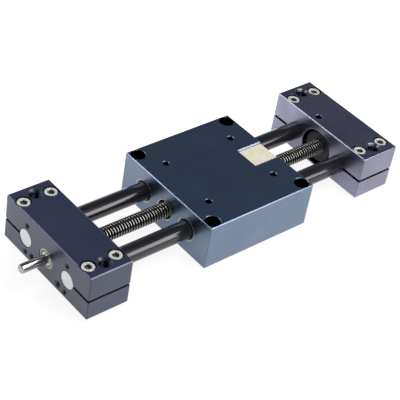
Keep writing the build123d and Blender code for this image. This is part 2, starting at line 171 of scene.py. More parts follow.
def holesFromAbove(tree, parts, look):
    # Two masks of the holes sunk from above. The first is 1 on a hole's wall and falls to 0 at the outside
    # of the sink round it, from the share sinkShade of the sink's width on. The second is 0 in a hole and
    # round its rim, and 1 elsewhere. A hole is given by its distance along and across from the middle of
    # the block, so one stands for four, by its radius and by the width of its sink.
    along = parts[0]
    if look["pair"]:
        along = addNode(tree, "Math", {"operation": "ABSOLUTE"}, {0: along})[0]
    along = addNode(tree, "Math", {"operation": "SUBTRACT", 1: look["middle"]}, {0: along})[0]
    along = addNode(tree, "Math", {"operation": "ABSOLUTE"}, {0: along})[0]
    across = addNode(tree, "Math", {"operation": "ABSOLUTE"}, {0: parts[1]})[0]
    flat = addNode(tree, "CombineXYZ", {}, {0: along, 1: across})[0]
    walls, clear = [], []
    for x, y, radius, sink in look["holes"]:
        middle = (x * mm, y * mm, 0)
        apart = addNode(tree, "VectorMath", {"operation": "DISTANCE", 1: middle}, {0: flat})["Value"]
        wall = (radius + look["sinkShade"] * sink + anodised["wallFade"][0]) * mm
        end = (radius + sink + anodised["wallFade"][1]) * mm
        walls.append(addNode(tree, "MapRange", fromTo((wall, end), falling), {0: apart})[0])
        rim = [(radius + sink + fade) * mm for fade in anodised["rimFade"]]
        clear.append(addNode(tree, "MapRange", fromTo(rim), {0: apart})[0])
    skin = [look["top"] - depth * mm for depth in anodised["topSkin"]]
    below = addNode(tree, "MapRange", fromTo(skin, falling), {0: parts[2]})[0]
    wallMask = joinMasks(tree, "MULTIPLY", [joinMasks(tree, "MAXIMUM", walls), below])
    return wallMask, joinMasks(tree, "MULTIPLY", clear)


def sawnSlots(tree, parts, width):
    # 1 on the walls of the slots, which run outwards from the shafts
    up = addNode(tree, "Math", {"operation": "SUBTRACT", 1: axisHeight}, {0: parts[2]})[0]
    up = addNode(tree, "Math", {"operation": "ABSOLUTE"}, {0: up})[0]
    sides = [(width / 2 + fade) * mm for fade in anodised["slotFade"]]
    near = addNode(tree, "MapRange", fromTo(sides, falling), {0: up})[0]
    across = addNode(tree, "Math", {"operation": "ABSOLUTE"}, {0: parts[1]})[0]
    start = (shaftOut, shaftOut + anodised["slotStart"] * mm)
    outside = addNode(tree, "MapRange", fromTo(start), {0: across})[0]
    return joinMasks(tree, "MULTIPLY", [near, outside])


def turnedRecess(tree, place, parts, recess):
    # 1 on the wall and the chamfer of the recess round the screw, from the block's inner face to its floor
    wall = [(recess["radius"] + recess["chamfer"] + fade) * mm for fade in anodised["recessFade"]]
    around = axisDistance(tree, place, 0.0)
    inside = addNode(tree, "MapRange", fromTo(wall, falling), {0: around})[0]
    start, end = recess["face"], recess["face"] + recess["depth"] * mm
    fade = anodised["recessEnd"] * mm
    deeper = addNode(tree, "MapRange", fromTo((start, start + fade)), {0: parts[0]})[0]
    shallower = addNode(tree, "MapRange", fromTo((end, end + fade), falling), {0: parts[0]})[0]
    return joinMasks(tree, "MULTIPLY", [inside, deeper, shallower])


def anodisedAluminium(look):
    # Milled, etched and dyed aluminium: a satin metal with a soft clear oxide layer over it.
    # The dye varies a little over some 25 mm. The etched grain is 0.1 mm, drawn at 1.4 mm to show at all.
    # Milling leaves faint lines drawn out along the longest side. The edges are eased by tumbling. A paler
    # colour along the top edges is a painted highlight, and a darker one on the upright corners is painted
    # shade.
    # The holes, slots and recess are darkened with painted shade. Bores machined afterwards are bare metal,
    # and the bare ring reaches a little past their chamfers onto the face as a painted highlight.
    material, tree, shader, place = startMaterial(look["name"], {
        "Metallic": look["metallic"], "Coat Weight": look["coat"], "Coat Roughness": anodised["coatRough"],
        "Coat IOR": anodised["coatIor"]})
    parts = addNode(tree, "SeparateXYZ", {}, {0: place})
    cloud = mottle(tree, place, anodised["cloud"], detail=2.0)
    streaks = grain(tree, place, look["lineWidth"], look["lines"])
    worn = addNode(tree, "Math", {"operation": "ADD"}, {0: cloud, 1: streaks})[0]
    worn = addNode(tree, "MapRange", fromTo(anodised["dyeSpread"]), {0: worn})[0]
    dark, light = linearColour(look["dark"]), linearColour(look["light"])
    colour = addNode(tree, "Mix", {"data_type": "RGBA", 6: dark, 7: light}, {0: worn})[2]

    easing = {"samples": anodised["easeSamples"], "Radius": look["easing"] * mm}
    eased = addNode(tree, "Bevel", easing, {})[0]
    onEdge = fromTo(anodised["edgeTurn"], falling)
    onEdge = addNode(tree, "MapRange", onEdge, {0: largestPart(tree, eased)})[0]
    start = [look["top"] - depth * mm for depth in anodised["edgeDepth"]]
    onTop = addNode(tree, "MapRange", fromTo(start, (0.0, look["edgeShare"])), {0: parts[2]})[0]
    # the walls of the holes, slots and recess get painted shade
    holes, clear = holesFromAbove(tree, parts, look)
    sunk = [holes]
    if look["slot"]:
        sunk.append(sawnSlots(tree, parts, look["slot"]))
    if look["recess"]:
        sunk.append(turnedRecess(tree, place, parts, look["recess"]))
    sunk = joinMasks(tree, "MAXIMUM", sunk)
    edge = joinMasks(tree, "MULTIPLY", [onEdge, clear, onTop])
    tilt = addNode(tree, "SeparateXYZ", {}, {0: eased})[2]
    tilt = addNode(tree, "Math", {"operation": "ABSOLUTE"}, {0: tilt})[0]
    # painted shade on the upright corners, darkening their eased edges
    upright = fromTo(anodised["cornerTilt"], (anodised["cornerShade"], 0.0))
    upright = addNode(tree, "MapRange", upright, {0: tilt})[0]
    corner = joinMasks(tree, "MULTIPLY", [onEdge, upright])
    # lays on the painted highlight along the top edges, and painted shade on the upright corners and in the
    # holes, slots and recess
    for mask, filmAndPaintedLight in ((edge, look["edge"]), (corner, anodised["deep"]), (sunk, anodised["deep"])):
        colour = addNode(tree, "Mix", {"data_type": "RGBA", 7: linearColour(filmAndPaintedLight)}, {0: mask, 6: colour})[2]

    fine = grain(tree, place, anodised["grain"])
    rough = addNode(tree, "MapRange", fromTo(anodised["grainRange"], anodised["rough"]), {0: fine})[0]
    # a bare ring round each bore: bare metal on its chamfer, and a painted highlight a little past it on
    # the face
    if look["bores"]:
        bores = []
        for outY, radius in look["bores"]:
            wall = (radius * mm, (radius + anodised["bareFade"]) * mm)
            distance = axisDistance(tree, place, outY)
            bores.append(addNode(tree, "MapRange", fromTo(wall, falling), {0: distance})[0])
        bare = joinMasks(tree, "MAXIMUM", bores)
        metal = linearColour(anodised["bare"])
        colour = addNode(tree, "Mix", {"data_type": "RGBA", 7: metal}, {0: bare, 6: colour})[2]
        bareRough = {"data_type": "FLOAT", 3: anodised["bareRough"]}
        rough = addNode(tree, "Mix", bareRough, {0: bare, 2: rough})[0]
        metallic = fromTo(unit, (look["metallic"], anodised["bareMetallic"]))
        feedShader(tree, shader, {"Metallic": addNode(tree, "MapRange", metallic, {0: bare})[0]})
    flatNormal = addNode(tree, "NewGeometry", {}, {})["Normal"]
    normal = addNode(tree, "Mix", {"data_type": "VECTOR"}, {0: clear, 4: flatNormal, 5: eased})[1]
    height = addNode(tree, "Math", {"operation": "ADD"}, {0: streaks, 1: fine})[0]
    bump = {"Distance": anodised["bump"] * mm}
    bump = addNode(tree, "Bump", bump, {"Height": height, "Normal": normal})[0]
    feedShader(tree, shader, {"Base Color": colour, "Roughness": rough, "Normal": bump})
    return material


tappedThread = {"chatter": 0.5, "rough": (0.34, 0.44), "bump": 0.002}


def tappedAluminium(name, low, high):
    # Thread tapped in dyed aluminium, with a dull glint on its crests; its given colours are painted light.
    # The tap's chatter marks are 0.1 mm, drawn at 0.5 mm.
    material, tree, shader, place = startMaterial(name, {"Metallic": 1.0})
    chatter = mottle(tree, place, tappedThread["chatter"])
    ends = {"data_type": "RGBA", 6: linearColour(low), 7: linearColour(high)}
    feedShader(tree, shader, {
        "Base Color": addNode(tree, "Mix", ends, {0: chatter})[2],
        "Roughness": addNode(tree, "MapRange", fromTo(unit, tappedThread["rough"]), {0: chatter})[0],
        "Normal": addNode(tree, "Bump", {"Distance": tappedThread["bump"] * mm}, {"Height": chatter})[0]})
    return material


shaftFilm = {
    "dark": "#353438", "light": "#3d3c41", "metallic": 0.75, "rough": (0.15, 0.2), "spots": 6.0,
    "rings": 0.5, "coat": 0.4, "coatRough": 0.1, "coatIor": 1.6, "bump": 0.001,
    "bare": "#ececea", "bareMetallic": 0.5, "bareRough": 0.36, "cut": (0.35, 0.3),
}


def hardAnodisedShaft():
    # Hard-anodised aluminium bar, ground and sealed: nearly black with a long sharp streak of light.
    # The saw-cut ends are bare, up to the chamfer. Grinding leaves rings 0.1 mm apart, drawn 0.5 mm apart.
    material, tree, shader, place = startMaterial("hard_anodised_aluminium_ground", {
        "Coat Weight": shaftFilm["coat"], "Coat Roughness": shaftFilm["coatRough"],
        "Coat IOR": shaftFilm["coatIor"]})
    along = addNode(tree, "SeparateXYZ", {}, {0: place})[0]
    along = addNode(tree, "Math", {"operation": "ABSOLUTE"}, {0: along})[0]
    cutEnd = [leftHigh.x - depth * mm for depth in shaftFilm["cut"]]
    bare = addNode(tree, "MapRange", fromTo(cutEnd), {0: along})[0]
    spots = mottle(tree, place, shaftFilm["spots"], stretch=(6, 1, 1))
    dark, light, cut = [linearColour(shaftFilm[name]) for name in ("dark", "light", "bare")]
    filmAndPaintedLight = addNode(tree, "Mix", {"data_type": "RGBA", 6: dark, 7: light}, {0: spots})[2]
    metallic = fromTo(unit, (shaftFilm["metallic"], shaftFilm["bareMetallic"]))
    rings = grain(tree, place, shaftFilm["rings"], stretch=(1, 40, 40), detail=2.0)
    shine = addNode(tree, "MapRange", fromTo(noiseRange, shaftFilm["rough"]), {0: rings})[0]
    dull = {"data_type": "FLOAT", 3: shaftFilm["bareRough"]}
    feedShader(tree, shader, {
        "Base Color": addNode(tree, "Mix", {"data_type": "RGBA", 7: cut}, {0: bare, 6: filmAndPaintedLight})[2],
        "Metallic": addNode(tree, "MapRange", metallic, {0: bare})[0],
        "Roughness": addNode(tree, "Mix", dull, {0: bare, 2: shine})[0],
        "Normal": addNode(tree, "Bump", {"Distance": shaftFilm["bump"] * mm}, {"Height": rings})[0]})
    return material


rolledSteel = {
    "journal": "#b5b4b0", "crest": "#a5a49f", "rootShade": "#0d0c0a",
    "journalRough": 0.2, "crestRough": (0.12, 0.2), "rootShadeRough": 0.6,
    "rootShadeDepth": (0.24, 0.1), "fade": 0.1, "fine": 0.8, "bump": 0.001,
}


def rolledThreadSteel():
    # Rolled and lightly oiled steel: bright worn crests, roots darkened with painted shade, turned and
    # polished journals.
    # The fine marks run round the screw. They are 0.2 mm, drawn at 0.8 mm.
    material, tree, shader, place = startMaterial("steel_rolled_thread_oiled", {})
    along = addNode(tree, "SeparateXYZ", {}, {0: place})[0]
    start, end, fade = leadScrew["start"], leadScrew["end"], rolledSteel["fade"] * mm
    pastStart = addNode(tree, "MapRange", fromTo((start, start + fade)), {0: along})[0]
    beforeEnd = addNode(tree, "MapRange", fromTo((end - fade, end), falling), {0: along})[0]
    threaded = joinMasks(tree, "MULTIPLY", [pastStart, beforeEnd])
    # below the crests the roots get near-black painted shade
    flank = [leadScrew["outer"] - depth * mm for depth in rolledSteel["rootShadeDepth"]]
    distance = axisDistance(tree, place, 0.0)
    root = addNode(tree, "MapRange", fromTo(flank, falling), {0: distance})[0]
    shadedRoots = joinMasks(tree, "MULTIPLY", [root, threaded])
    fine = grain(tree, place, rolledSteel["fine"], stretch=(1, 8, 8))
    journal, crest, rootShade = [linearColour(rolledSteel[name]) for name in ("journal", "crest", "rootShade")]
    steel = addNode(tree, "Mix", {"data_type": "RGBA", 6: journal, 7: crest}, {0: threaded})[2]
    bright = addNode(tree, "MapRange", fromTo(noiseRange, rolledSteel["crestRough"]), {0: fine})[0]
    polish = {"data_type": "FLOAT", 2: rolledSteel["journalRough"]}
    rough = addNode(tree, "Mix", polish, {0: threaded, 3: bright})[0]
    dull = {"data_type": "FLOAT", 3: rolledSteel["rootShadeRough"]}
    feedShader(tree, shader, {
        "Base Color": addNode(tree, "Mix", {"data_type": "RGBA", 7: rootShade}, {0: shadedRoots, 6: steel})[2],
        "Roughness": addNode(tree, "Mix", dull, {0: shadedRoots, 2: rough})[0],
        "Metallic": addNode(tree, "MapRange", fromTo(unit, falling), {0: shadedRoots})[0],
        "Normal": addNode(tree, "Bump", {"Distance": rolledSteel["bump"] * mm}, {"Height": fine})[0]})
    return material


zincPlate = {
    # the dark olive colour is painted shade in the socket and on the head's side
    "low": "#bdbbb5", "high": "#f4f2ee", "metallic": 0.4, "rough": (0.36, 0.48), "filmAndPaintedLight": "#2a2414",
    "speck": 0.7, "bump": 0.006,
}


def platedScrewSteel():
    # Cold-headed steel, dull zinc plated: a pale, softly speckled grey, with a dark olive painted shade in
    # the socket and on the knurled side in the gap round the head. An attribute of the points says how much
    # of it there is, most of all on the knurled side. The specks are 0.2 mm, drawn at 0.7 mm.
    material, tree, shader, place = startMaterial("steel_cold_headed_zinc_plated", {
        "Metallic": zincPlate["metallic"]})
    specks = mottle(tree, place, zincPlate["speck"])
    low, high, filmAndPaintedLight = [linearColour(zincPlate[name]) for name in ("low", "high", "filmAndPaintedLight")]
    zinc = addNode(tree, "Mix", {"data_type": "RGBA", 6: low, 7: high}, {0: specks})[2]
    depth = addNode(tree, "Attribute", {"attribute_name": "paintedShade"}, {})["Fac"]
    feedShader(tree, shader, {
        "Base Color": addNode(tree, "Mix", {"data_type": "RGBA", 7: filmAndPaintedLight}, {0: depth, 6: zinc})[2],
        "Roughness": addNode(tree, "MapRange", fromTo(unit, zincPlate["rough"]), {0: specks})[0],
        "Normal": addNode(tree, "Bump", {"Distance": zincPlate["bump"] * mm}, {"Height": specks})[0]})
    return material


turnedRings = {"rings": 0.4, "mottle": 3.0, "bump": 0.001}


def ringMetal(name, low, high, rough, metallic):
    # Turned or ground metal part: faint rings round the screw's axis, 0.1 mm apart and drawn 0.4 mm apart,
    # and a slight mottle.
    material, tree, shader, place = startMaterial(name, {"Metallic": metallic})
    spots = mottle(tree, place, turnedRings["mottle"])
    ends = {"data_type": "RGBA", 6: linearColour(low), 7: linearColour(high)}
    perMetre = 2 * math.pi / (turnedRings["rings"] * mm)
    distance = axisDistance(tree, place, 0.0)
    wave = addNode(tree, "Math", {"operation": "MULTIPLY", 1: perMetre}, {0: distance})[0]
    rings = addNode(tree, "Math", {"operation": "SINE"}, {0: wave})[0]
    feedShader(tree, shader, {
        "Base Color": addNode(tree, "Mix", ends, {0: spots})[2],
        "Roughness": addNode(tree, "MapRange", fromTo(unit, rough), {0: spots})[0],
        "Normal": addNode(tree, "Bump", {"Distance": turnedRings["bump"] * mm}, {"Height": rings})[0]})
    return material


shieldTin = {
    "low": "#a9a68f", "high": "#bdbaa3", "metallic": 0.85, "rough": (0.38, 0.48), "spots": 2.0,
    "rim": "#25231b", "rimStart": (4.95, 5.1), "bump": 0.003,
}


def pressedShield():
    # Pressed and tinned sheet steel: dull cream, with a crimped rim that lies in the shade of the outer
    # ring. The flat part has a slight mottle of 2 mm spots.
    material, tree, shader, place = startMaterial("sheet_steel_pressed_tinned", {
        "Metallic": shieldTin["metallic"]})
    spots = mottle(tree, place, shieldTin["spots"])
    low, high, shade = [linearColour(shieldTin[name]) for name in ("low", "high", "rim")]
    tin = addNode(tree, "Mix", {"data_type": "RGBA", 6: low, 7: high}, {0: spots})[2]
    start = [radius * mm for radius in shieldTin["rimStart"]]
    rim = addNode(tree, "MapRange", fromTo(start), {0: axisDistance(tree, place, 0.0)})[0]
    feedShader(tree, shader, {
        "Base Color": addNode(tree, "Mix", {"data_type": "RGBA", 7: shade}, {0: rim, 6: tin})[2],
        "Roughness": addNode(tree, "MapRange", fromTo(unit, shieldTin["rough"]), {0: spots})[0],
        "Normal": addNode(tree, "Bump", {"Distance": shieldTin["bump"] * mm}, {"Height": spots})[0]})
    return material


bearingPolymer = {
    "ior": 1.53, "fleck": 0.8, "fleckRange": (0.35, 0.65), "fleckShare": 0.35, "cloud": 7.0,
    "roughSpread": 0.12, "bump": 0.01,
}


def polymer(name, low, high, rough):
    # Moulded or machined bearing polymer: matt, with a fine fleck of solid lubricant and faint tool marks.
    # The fleck is 0.1 mm, drawn at 0.8 mm.
    material, tree, shader, place = startMaterial(name, {"IOR": bearingPolymer["ior"]})
    fleck = mottle(tree, place, bearingPolymer["fleck"], detail=4.0, spread=bearingPolymer["fleckRange"])
    cloud = mottle(tree, place, bearingPolymer["cloud"])
    share = bearingPolymer["fleckShare"]
    both = addNode(tree, "Math", {"operation": "MULTIPLY_ADD", 1: share}, {0: fleck, 2: cloud})[0]
    mask = addNode(tree, "MapRange", fromTo((0.0, 1.0 + share)), {0: both})[0]
    ends = {"data_type": "RGBA", 6: linearColour(low), 7: linearColour(high)}
    spread = fromTo(unit, (rough, rough + bearingPolymer["roughSpread"]))
    feedShader(tree, shader, {
        "Base Color": addNode(tree, "Mix", ends, {0: mask})[2],
        "Roughness": addNode(tree, "MapRange", spread, {0: fleck})[0],
        "Normal": addNode(tree, "Bump", {"Distance": bearingPolymer["bump"] * mm}, {"Height": fleck})[0]})
    return material


# Small helpers for pieces

doubles = 0.002 * mm      # points nearer than this are one point


def addObject(name, data):
    # an object in the scene, at its origin
    thing = bpy.data.objects.new(name, data)
    bpy.context.scene.collection.objects.link(thing)
    return thing


def meshPiece(name, points, faces, material, smoothAngle=35.0, filmAndPaintedLight=None):
    # points and faces are numpy arrays; doubles are merged, which closes poles, seams and clamped ends.
    # Its last argument holds painted shade, a value for each point, which the merged mesh keeps as an
    # attribute.
    mesh = bpy.data.meshes.new(name)
    mesh.from_pydata(points.tolist(), [], faces.tolist())
    if filmAndPaintedLight is not None:
        mesh.attributes.new("paintedShade", "FLOAT", "POINT").data.foreach_set("value", filmAndPaintedLight)
    build = bmesh.new()
    build.from_mesh(mesh)
    bmesh.ops.remove_doubles(build, verts=build.verts, dist=doubles)
    bmesh.ops.dissolve_degenerate(build, edges=build.edges, dist=doubles / 4)
    bmesh.ops.recalc_face_normals(build, faces=build.faces)
    build.to_mesh(mesh)
    build.free()
    mesh.polygons.foreach_set("use_smooth", np.ones(len(mesh.polygons), dtype=bool))
    mesh.set_sharp_from_angle(angle=math.radians(smoothAngle))
    mesh.materials.append(material)
    return addObject(name, mesh)


def gridFaces(rows, columns, first=0, closed=False):
    # Each quad joins a grid point to the next in its row and the two under them, where a point's number is
    # first + row * columns + column; closed joins the last row to the first.
    index = first + np.arange(rows * columns).reshape(rows, columns)
    if closed:
        index = np.vstack([index, index[:1]])
    corners = [index[:-1, :-1], index[1:, :-1], index[1:, 1:], index[:-1, 1:]]
    return np.stack([c.ravel() for c in corners], axis=1)


def aroundAxis(along, radius, angle, foot, direction):
    # point = foot + along * direction + radius * (cos, sin) of the angle in the plane across the direction
    direction = np.array(direction, dtype=float)
    first = np.array([0.0, 1.0, 0.0]) if abs(direction[1]) < 0.5 else np.array([0.0, 0.0, 1.0])
    second = np.cross(direction, first)
    ring = np.cos(angle)[..., None] * first + np.sin(angle)[..., None] * second
    grid = np.array(foot) + along[..., None] * direction + radius[..., None] * ring
    return grid.reshape(-1, 3)


def threadRows(start, end, thread, angle):
    # Grid lines that follow the corners of a thread: each corner lies at along = pitch * (turn + angle /
    # 2 pi) plus its own place in the pitch. Points past the ends are clamped, and merge there.
    half = thread["crest"] / 2
    flank = (thread["outer"] - thread["root"]) * math.tan(math.radians(thread["flank"]))
    crown = np.linspace(-half, half, thread["crown"])
    corners = np.concatenate([[-half - flank], crown, [half + flank]])
    turns = np.arange(math.floor(start / thread["pitch"]) - 1, math.ceil(end / thread["pitch"]) + 2)
    base = (turns[:, None] * thread["pitch"] + corners[None, :]).ravel()
    along = base[:, None] + thread["pitch"] * angle[None, :] / (2 * math.pi)
    return np.clip(along, start, end)


def threadRadius(along, angle, thread):
    # radius = outer less rounding * (distance / half crest)^4 on the crest, then less the flank's own
    # (distance past the crest) / tan(flank angle), never below the root
    phase = along / thread["pitch"] - angle / (2 * math.pi)
    distance = thread["pitch"] * np.abs(phase - np.round(phase))
    slope = math.tan(math.radians(thread["flank"]))
    crown = thread["rounding"] * np.minimum(distance / (thread["crest"] / 2), 1) ** 4
    drop = crown + np.maximum(distance - thread["crest"] / 2, 0) / slope
    return np.maximum(thread["outer"] - drop, thread["root"])


# Lead screw: one closed grid from the tip of the input journal to the tail journal's end.
# A thread's crown is the number of its points across the crest, and its flank is in degrees.
leadScrew = {
    "pitch": 2.0 * mm, "crest": 0.55 * mm, "crown": 7, "rounding": 0.1 * mm, "outer": 5.0 * mm,
    "root": 3.75 * mm, "flank": 15.0, "threadChamfer": 0.8 * mm, "columns": 72,
    "start": driveHigh.x - 2.95 * mm, "end": tailLow.x + 13.0 * mm,
    "journal": 3.0 * mm, "journalChamfer": 0.5 * mm, "reliefDepth": 0.2 * mm, "reliefHalf": 0.3 * mm,
    "smoothAngle": 40.0,
}


def makeLeadScrew(material):
    # radius = the smaller of the thread's own and that of the cone outer - chamfer + distance to the nearer
    # end of the thread; the journals before and after it are rings at (along, radius)
    size = leadScrew
    angle = np.linspace(0, 2 * math.pi, size["columns"] + 1)
    start, end = size["start"], size["end"]
    along = threadRows(start, end, size, angle)
    endCone = size["outer"] - size["threadChamfer"] + np.minimum(along - start, end - along)
    threaded = np.minimum(threadRadius(along, angle[None, :], size), np.maximum(endCone, size["root"]))
    chamfer, journal = size["journalChamfer"], size["journal"]
    grooveStart, grooveEnd = driveLow.x - size["reliefHalf"], driveLow.x + size["reliefHalf"]
    grooved = journal - size["reliefDepth"]
    before = [(screwLow.x, 0), (screwLow.x, journal - chamfer), (screwLow.x + chamfer, journal),
              (grooveStart, journal), (grooveStart, grooved), (grooveEnd, grooved), (grooveEnd, journal),
              (start, journal)]
    after = [(end, journal), (screwHigh.x - chamfer, journal), (screwHigh.x, journal - chamfer),
             (screwHigh.x, 0)]
    ones = np.ones_like(angle)
    along = np.array([ones * a for a, r in before] + list(along) + [ones * a for a, r in after])
    radius = np.array([ones * r for a, r in before] + list(threaded) + [ones * r for a, r in after])
    points = aroundAxis(along, radius, np.broadcast_to(angle, along.shape), (0, 0, axisHeight), (1, 0, 0))
    piece = meshPiece("lead_screw_threaded", points, gridFaces(*along.shape), material, size["smoothAngle"])
    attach(piece, "screw")
    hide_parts("lead_screw")


# Socket head screws: one closed grid from the bottom of the socket, over the head, to the tip
m5Screw = {
    "pitch": 0.8 * mm, "crest": 0.1 * mm, "crown": 2, "rounding": 0.0, "outer": 2.5 * mm,
    "root": 2.0 * mm, "flank": 30.0, "length": 21.3 * mm, "columns": 72,
    "head": 4.25 * mm, "headHeight": 5.0 * mm, "headEdge": 0.5 * mm, "knurls": 24, "knurlDepth": 0.12 * mm,
    "socket": 2.0 * mm, "socketDepth": 2.5 * mm, "mouth": 2.45 * mm,
}
m3Screw = {
    "pitch": 0.5 * mm, "crest": 0.06 * mm, "crown": 2, "rounding": 0.0, "outer": 1.5 * mm,
    "root": 1.19 * mm, "flank": 30.0, "length": 24.1 * mm, "columns": 54,
    "head": 2.75 * mm, "headHeight": 3.0 * mm, "headEdge": 0.24 * mm, "knurls": 18, "knurlDepth": 0.08 * mm,
    "socket": 1.25 * mm, "socketDepth": 1.3 * mm, "mouth": 1.55 * mm,
}
screwShape = {
    # for both sizes; drillPoint is a share of the socket, floorRim of its wall, knurlTop of the head's edge
    "drillPoint": 0.35, "floorRim": 0.97, "knurlTop": 1.6, "edgeRows": 5,
    "shankStart": 0.4 * mm, "threadStart": 0.5 * mm, "tip": 0.1 * mm,
    # how dark the painted shade is on the socket's point, its floor's rim, the foot and the top of its wall
    "shadePoint": 0.5, "shadeRim": 0.8, "shadeFoot": 0.9, "shadeTop": 0.8,
    # from there on, the head's side, in the gap round the head, is painted shade
    "shadeTurn": 0.7,      # radians round the head's edge, from which on the side is dark
}


def socketScrewGrid(size, foot, direction):
    # The socket's wall is the hexagon's polar radius a / cos(angle to the nearest flat), cut by a 45 degree
    # cone at its mouth. The head's edge is a quarter circle and its side is knurled by a cosine. The shank
    # follows threadRadius, cut by a 45 degree cone at its tip.
    shape = screwShape
    angle = np.linspace(0, 2 * math.pi, size["columns"] + 1)
    ones = np.ones_like(angle)
    toFlat = np.abs((angle + math.pi / 6) % (math.pi / 3) - math.pi / 6)
    wall = size["socket"] / np.cos(toFlat)
    top, edge = size["headHeight"], size["headEdge"]
    bottom = top - size["socketDepth"]
    knurl = size["head"] - size["knurlDepth"] * (0.5 - 0.5 * np.cos(size["knurls"] * angle))
    rows = [(ones * (bottom - shape["drillPoint"] * size["socket"]), ones * 0, shape["shadePoint"]),
            (ones * bottom, wall * shape["floorRim"], shape["shadeRim"]),
            (ones * bottom, wall, shape["shadeFoot"]),
            (top - (size["mouth"] - wall), wall, shape["shadeTop"]),
            (ones * top, ones * size["mouth"], 0)]
    for turn in np.linspace(0, math.pi / 2, shape["edgeRows"]):
        rows.append((ones * (top - edge + edge * math.cos(turn)),
                     ones * (size["head"] - edge + edge * math.sin(turn)), int(turn > shape["shadeTurn"])))
    rows += [(ones * (top - shape["knurlTop"] * edge), knurl, 1), (ones * edge, knurl, 1),
             (ones * 0, ones * (size["head"] - edge), 0), (ones * 0, ones * size["outer"], 0),
             (ones * -shape["shankStart"], ones * size["outer"], 0)]
    along = threadRows(-size["length"], -shape["threadStart"], size, angle)
    tipCone = size["root"] - shape["tip"] + (along + size["length"])
    radius = np.minimum(threadRadius(along, angle[None, :], size), tipCone)
    alongRows = [row[0] for row in rows] + list(along[::-1]) + [ones * -size["length"]]
    radiusRows = [row[1] for row in rows] + list(radius[::-1]) + [ones * 0]
    filmAndPaintedLight = [row[2] for row in rows] + [0] * (len(along) + 1)
    along, radius = np.array(alongRows), np.array(radiusRows)
    points = aroundAxis(along, radius, np.broadcast_to(angle, along.shape), foot, direction)
    return points, gridFaces(*along.shape), np.repeat(np.array(filmAndPaintedLight, dtype=float), len(angle))


def makeScrews(name, size, places, direction, material, body, replaced):
    # several screws in one piece; places are the middles of their head seats
    points, faces, filmAndPaintedLight = [], [], []
    for place in places:
        somePoints, someFaces, someShade = socketScrewGrid(size, place, direction)
        faces.append(someFaces + sum(len(p) for p in points))
        points.append(somePoints)
        filmAndPaintedLight.append(someShade)
    piece = meshPiece(name, np.vstack(points), np.vstack(faces), material, filmAndPaintedLight=np.concatenate(filmAndPaintedLight))
    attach(piece, body)
    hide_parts(replaced)


# Thread in the tapped holes: a thin lining whose ridges stand a little inside the hole
tapped = {"wall": 0.02 * mm, "inset": 0.01 * mm, "columns": 48, "crestShare": 0.125, "flank": 30.0}
holeFamilies = {
    # The holes of a family are at each of its places along, on both sides across and at each height.
    "base_hole_threads": {
        "along": (-blockMiddle, blockMiddle), "across": 35 * mm, "heights": (driveLow.z + 0.4 * mm,),
        "direction": (0, 0, 1), "depth": 30.3 * mm, "radius": 3.4 * mm, "ridge": 0.36 * mm,
        "pitch": 1.25 * mm, "body": "frame", "slot": "end_block"},
    "drive_face_threads": {
        "along": (driveLow.x + 0.5 * mm,), "across": 20.25 * mm,
        "heights": (axisHeight - 10 * mm, axisHeight + 10 * mm),
        "direction": (1, 0, 0), "depth": 8.5 * mm, "radius": 1.65 * mm, "ridge": 0.2 * mm,
        "pitch": 0.7 * mm, "body": "frame", "slot": "end_block"},
    "drive_pair_threads": {
        "along": (driveLow.x + 0.5 * mm,), "across": 13.5 * mm, "heights": (axisHeight - 9.2 * mm,),
        "direction": (1, 0, 0), "depth": 10.5 * mm, "radius": 2.1 * mm, "ridge": 0.24 * mm,
        "pitch": 0.8 * mm, "body": "frame", "slot": "end_block"},
    "carriage_hole_threads": {
        "along": (carriageMiddle - 37 * mm, carriageMiddle + 37 * mm), "across": 37 * mm,
        "heights": (carriageLow.z + 0.7 * mm,),
        "direction": (0, 0, 1), "depth": 19.2 * mm, "radius": 2.5 * mm, "ridge": 0.28 * mm,
        "pitch": 1.0 * mm, "body": "carriage", "slot": "carriage"},
}


def makeTappedLinings(name, family, material):
    # each lining is a closed ring: a plain wall outside, and inside radius = hole less the ridge's profile
    angle = np.linspace(0, 2 * math.pi, tapped["columns"] + 1)
    ones = np.ones_like(angle)
    thread = {"pitch": family["pitch"], "crest": tapped["crestShare"] * family["pitch"], "crown": 2,
              "rounding": 0.0, "outer": family["ridge"], "root": 0.0, "flank": tapped["flank"]}
    inner = threadRows(0.0, family["depth"], thread, angle)
    innerRadius = family["radius"] - tapped["inset"] - threadRadius(inner, angle[None, :], thread)
    wall = family["radius"] + tapped["wall"]
    along = np.array([ones * family["depth"], ones * 0] + list(inner))
    radius = np.array([ones * wall, ones * wall] + list(innerRadius))
    around = np.broadcast_to(angle, along.shape)
    places = [(x, side * family["across"], z)
              for x in family["along"] for side in (-1, 1) for z in family["heights"]]
    points = [aroundAxis(along, radius, around, place, family["direction"]) for place in places]
    faces = [gridFaces(*along.shape, first=i * along.size, closed=True) for i in range(len(places))]
    piece = meshPiece(name, np.vstack(points), np.vstack(faces), material)
    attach(piece, family["body"])


# Build, with lengths in mm in the dictionaries

clampScrews = {"along": 9.75, "across": 32.5, "headDepth": 0.7}      # from the middle of a block
nutScrews = {"x": 45.4, "across": 4.6, "height": 26.6}               # middles of their head seats
blockHoles = [
    # along, across, radius and sink: mounting hole, clamp screw's hole, key hole
    (0, 35, 3.4, 1.3), (clampScrews["along"], clampScrews["across"], 4.75, 0), (9.05, 8.4, 2.15, 0.3),
]
carriageHoles = [(37, 37, 5.0, 0), (27, 21.25, 2.1, 0.4)]            # corner hole, liner's locating hole
tailRecess = {"face": tailLow.x, "radius": 12.75, "chamfer": 0.3, "depth": 12.0}
blockLook = {
    "holes": blockHoles, "pair": True, "middle": blockMiddle, "top": driveHigh.z, "slot": 1.8, "bores": [],
}
